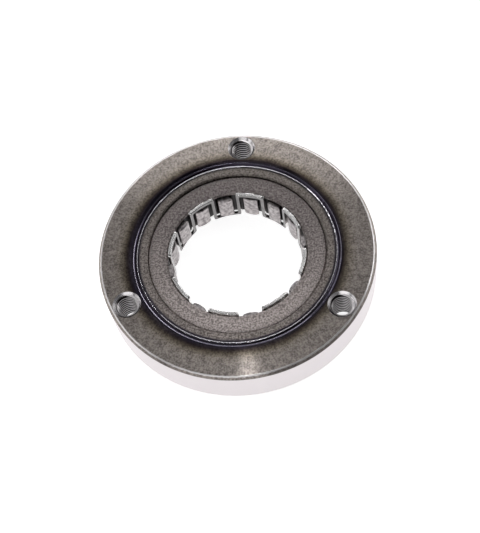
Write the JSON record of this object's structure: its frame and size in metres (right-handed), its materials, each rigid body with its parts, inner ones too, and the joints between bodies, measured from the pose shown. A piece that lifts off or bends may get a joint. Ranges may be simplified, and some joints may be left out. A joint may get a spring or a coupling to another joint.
{
  "type": "sprag clutch",
  "caption": "One-way starter clutch: a welded outer ring with tapped holes, a side plate, and caged sprags held out by a bright meander spring around an open centre.",
  "frame": {"origin": "centre of the bottom face, on the clutch's axis", "axes": "+Z along the clutch's axis towards the face with the large countersinks and the side plate; +Y through one tapped hole"},
  "size_m": [0.0936, 0.0936, 0.0143],
  "materials": {
    "ring_steel": "turned, ground on the rim, heat-tinted beside the weld",
    "race_steel": "hardened, fine matte turned face",
    "weld_steel": "blue-black oxidised weld bead",
    "plate_steel": "matte stamped steel",
    "cage_steel": "dark drawn sheet steel",
    "spring_steel": "bright spring strip",
    "sprag_steel": "tumbled hardened bearing steel"
  },
  "bodies": {
    "clutch_outer": {"mounting_ring": "ring_steel", "outer_race": "race_steel", "weld_seam": "weld_steel", "side_plate": "plate_steel"},
    "cage": {"sprag_cage": "cage_steel"},
    "spring": {"meander_spring": "spring_steel"},
    "sprag_01": {"sprag_01": "sprag_steel"},
    "sprag_02": {"sprag_02": "sprag_steel"},
    "sprag_03": {"sprag_03": "sprag_steel"},
    "sprag_04": {"sprag_04": "sprag_steel"},
    "sprag_05": {"sprag_05": "sprag_steel"},
    "sprag_06": {"sprag_06": "sprag_steel"},
    "sprag_07": {"sprag_07": "sprag_steel"},
    "sprag_08": {"sprag_08": "sprag_steel"},
    "sprag_09": {"sprag_09": "sprag_steel"},
    "sprag_10": {"sprag_10": "sprag_steel"},
    "sprag_11": {"sprag_11": "sprag_steel"},
    "sprag_12": {"sprag_12": "sprag_steel"},
    "sprag_13": {"sprag_13": "sprag_steel"},
    "sprag_14": {"sprag_14": "sprag_steel"},
    "sprag_15": {"sprag_15": "sprag_steel"},
    "sprag_16": {"sprag_16": "sprag_steel"}
  },
  "joints": [
    {"name": "cage_turn", "type": "hinge", "parent": "clutch_outer", "child": "cage", "pos_m": [0, 0, 0.0055], "axis": [0, 0, 1], "continuous": true},
    {"name": "spring_phase", "type": "hinge", "parent": "cage", "child": "spring", "pos_m": [0, 0, 0.006], "axis": [0, 0, -1], "range_deg": [0, 1.2], "stiffness_Nm_per_rad": 5},
    {"name": "sprag_01_tilt", "type": "hinge", "parent": "cage", "child": "sprag_01", "pos_m": [0.02043, 0.01596, 0.0055], "axis": [0, 0, 1], "range_deg": [0, 9]},
    {"name": "sprag_02_tilt", "type": "hinge", "parent": "cage", "child": "sprag_02", "pos_m": [0.01276, 0.02256, 0.0055], "axis": [0, 0, 1], "range_deg": [0, 9]},
    {"name": "sprag_03_tilt", "type": "hinge", "parent": "cage", "child": "sprag_03", "pos_m": [0.00316, 0.02573, 0.0055], "axis": [0, 0, 1], "range_deg": [0, 9]},
    {"name": "sprag_04_tilt", "type": "hinge", "parent": "cage", "child": "sprag_04", "pos_m": [-0.00693, 0.02498, 0.0055], "axis": [0, 0, 1], "range_deg": [0, 9]},
    {"name": "sprag_05_tilt", "type": "hinge", "parent": "cage", "child": "sprag_05", "pos_m": [-0.01596, 0.02043, 0.0055], "axis": [0, 0, 1], "range_deg": [0, 9]},
    {"name": "sprag_06_tilt", "type": "hinge", "parent": "cage", "child": "sprag_06", "pos_m": [-0.02256, 0.01276, 0.0055], "axis": [0, 0, 1], "range_deg": [0, 9]},
    {"name": "sprag_07_tilt", "type": "hinge", "parent": "cage", "child": "sprag_07", "pos_m": [-0.02573, 0.00316, 0.0055], "axis": [0, 0, 1], "range_deg": [0, 9]},
    {"name": "sprag_08_tilt", "type": "hinge", "parent": "cage", "child": "sprag_08", "pos_m": [-0.02498, -0.00693, 0.0055], "axis": [0, 0, 1], "range_deg": [0, 9]},
    {"name": "sprag_09_tilt", "type": "hinge", "parent": "cage", "child": "sprag_09", "pos_m": [-0.02043, -0.01596, 0.0055], "axis": [0, 0, 1], "range_deg": [0, 9]},
    {"name": "sprag_10_tilt", "type": "hinge", "parent": "cage", "child": "sprag_10", "pos_m": [-0.01276, -0.02256, 0.0055], "axis": [0, 0, 1], "range_deg": [0, 9]},
    {"name": "sprag_11_tilt", "type": "hinge", "parent": "cage", "child": "sprag_11", "pos_m": [-0.00316, -0.02573, 0.0055], "axis": [0, 0, 1], "range_deg": [0, 9]},
    {"name": "sprag_12_tilt", "type": "hinge", "parent": "cage", "child": "sprag_12", "pos_m": [0.00693, -0.02498, 0.0055], "axis": [0, 0, 1], "range_deg": [0, 9]},
    {"name": "sprag_13_tilt", "type": "hinge", "parent": "cage", "child": "sprag_13", "pos_m": [0.01596, -0.02043, 0.0055], "axis": [0, 0, 1], "range_deg": [0, 9]},
    {"name": "sprag_14_tilt", "type": "hinge", "parent": "cage", "child": "sprag_14", "pos_m": [0.02256, -0.01276, 0.0055], "axis": [0, 0, 1], "range_deg": [0, 9]},
    {"name": "sprag_15_tilt", "type": "hinge", "parent": "cage", "child": "sprag_15", "pos_m": [0.02573, -0.00316, 0.0055], "axis": [0, 0, 1], "range_deg": [0, 9]},
    {"name": "sprag_16_tilt", "type": "hinge", "parent": "cage", "child": "sprag_16", "pos_m": [0.02498, 0.00693, 0.0055], "axis": [0, 0, 1], "range_deg": [0, 9]}
  ],
  "couplings": [
    {"joint": "sprag_01_tilt", "follows": "spring_phase", "ratio": 7.5},
    {"joint": "sprag_02_tilt", "follows": "spring_phase", "ratio": 7.5},
    {"joint": "sprag_03_tilt", "follows": "spring_phase", "ratio": 7.5},
    {"joint": "sprag_04_tilt", "follows": "spring_phase", "ratio": 7.5},
    {"joint": "sprag_05_tilt", "follows": "spring_phase", "ratio": 7.5},
    {"joint": "sprag_06_tilt", "follows": "spring_phase", "ratio": 7.5},
    {"joint": "sprag_07_tilt", "follows": "spring_phase", "ratio": 7.5},
    {"joint": "sprag_08_tilt", "follows": "spring_phase", "ratio": 7.5},
    {"joint": "sprag_09_tilt", "follows": "spring_phase", "ratio": 7.5},
    {"joint": "sprag_10_tilt", "follows": "spring_phase", "ratio": 7.5},
    {"joint": "sprag_11_tilt", "follows": "spring_phase", "ratio": 7.5},
    {"joint": "sprag_12_tilt", "follows": "spring_phase", "ratio": 7.5},
    {"joint": "sprag_13_tilt", "follows": "spring_phase", "ratio": 7.5},
    {"joint": "sprag_14_tilt", "follows": "spring_phase", "ratio": 7.5},
    {"joint": "sprag_15_tilt", "follows": "spring_phase", "ratio": 7.5},
    {"joint": "sprag_16_tilt", "follows": "spring_phase", "ratio": 7.5}
  ]
}
